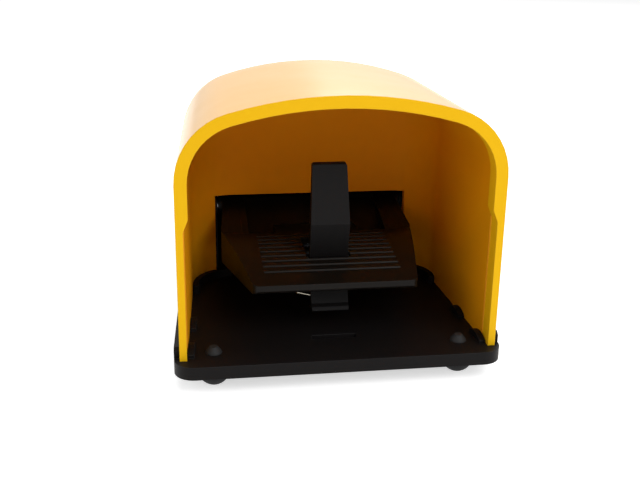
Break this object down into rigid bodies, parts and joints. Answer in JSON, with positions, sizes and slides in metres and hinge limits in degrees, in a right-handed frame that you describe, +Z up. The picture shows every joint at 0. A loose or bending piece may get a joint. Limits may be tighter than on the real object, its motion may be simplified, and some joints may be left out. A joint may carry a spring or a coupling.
{
  "type": "guarded foot switch",
  "caption": "Industrial foot switch with an arched yellow guard, a ribbed pedal on a rear axle, a toe latch, a two-pole contact block and rear cable entries.",
  "frame": {"origin": "middle of the footprint at the soles of the rubber feet", "axes": "+X to the right of the user's foot, +Y from the open mouth to the cable entries, +Z up"},
  "size_m": [0.162, 0.2716, 0.1429],
  "materials": {
    "hood_yellow": "satin",
    "base_black": "satin",
    "pedal_black": "gloss",
    "lever_black": "matte",
    "foot_rubber": "matte",
    "seal_rubber": "matte",
    "zinc_steel": "zinc plated",
    "spring_steel": "bright wire",
    "block_grey": "matte",
    "cover_black": "matte",
    "plunger_white": "satin",
    "contact_brass": "satin",
    "gland_black": "satin"
  },
  "bodies": {
    "base": {"base_plate": "base_black", "hood": "hood_yellow", "rubber_feet": "foot_rubber", "hood_screws": "zinc_steel", "pedal_axle": "zinc_steel", "axle_clips": "spring_steel", "pedal_spring": "spring_steel", "contact_block": "block_grey", "block_cover": "cover_black", "cover_screws": "zinc_steel", "block_screws": "zinc_steel", "plunger_spring_left": "spring_steel", "plunger_spring_right": "spring_steel", "fixed_contacts": "contact_brass", "terminal_screws": "contact_brass", "gland_body": "gland_black", "gland_seal": "seal_rubber", "gland_nut": "gland_black", "gland_locknut": "gland_black", "blanking_plug": "gland_black", "plug_locknut": "gland_black", "entry_seals": "seal_rubber"},
    "pedal": {"pedal": "pedal_black", "lever_pin": "zinc_steel", "lever_spring": "spring_steel"},
    "latch": {"toe_lever": "lever_black"},
    "plunger_left": {"plunger_left": "plunger_white", "bridge_left": "contact_brass"},
    "plunger_right": {"plunger_right": "plunger_white", "bridge_right": "contact_brass"}
  },
  "joints": [
    {"name": "pedal_hinge", "type": "hinge", "parent": "base", "child": "pedal", "pos_m": [0, -0.0038, 0.055], "axis": [1, 0, 0], "range_deg": [0, 8], "stiffness_Nm_per_rad": 4, "springref_deg": -17.19, "deforming": ["pedal_spring"]},
    {"name": "latch_hinge", "type": "hinge", "parent": "pedal", "child": "latch", "pos_m": [0, -0.0814, 0.044], "axis": [1, 0, 0], "range_deg": [-40, 0], "deforming": ["lever_spring"]},
    {"name": "plunger_left_slide", "type": "slide", "parent": "base", "child": "plunger_left", "axis": [0, 1, 0], "range_m": [0, 0.0031], "deforming": ["plunger_spring_left"]},
    {"name": "plunger_right_slide", "type": "slide", "parent": "base", "child": "plunger_right", "axis": [0, 1, 0], "range_m": [0, 0.0031], "deforming": ["plunger_spring_right"]}
  ],
  "couplings": [
    {"joint": "latch_hinge", "follows": "pedal_hinge", "ratio": -5},
    {"joint": "plunger_left_slide", "follows": "pedal_hinge", "m_per_rad": 0.022},
    {"joint": "plunger_right_slide", "follows": "pedal_hinge", "m_per_rad": 0.022}
  ]
}
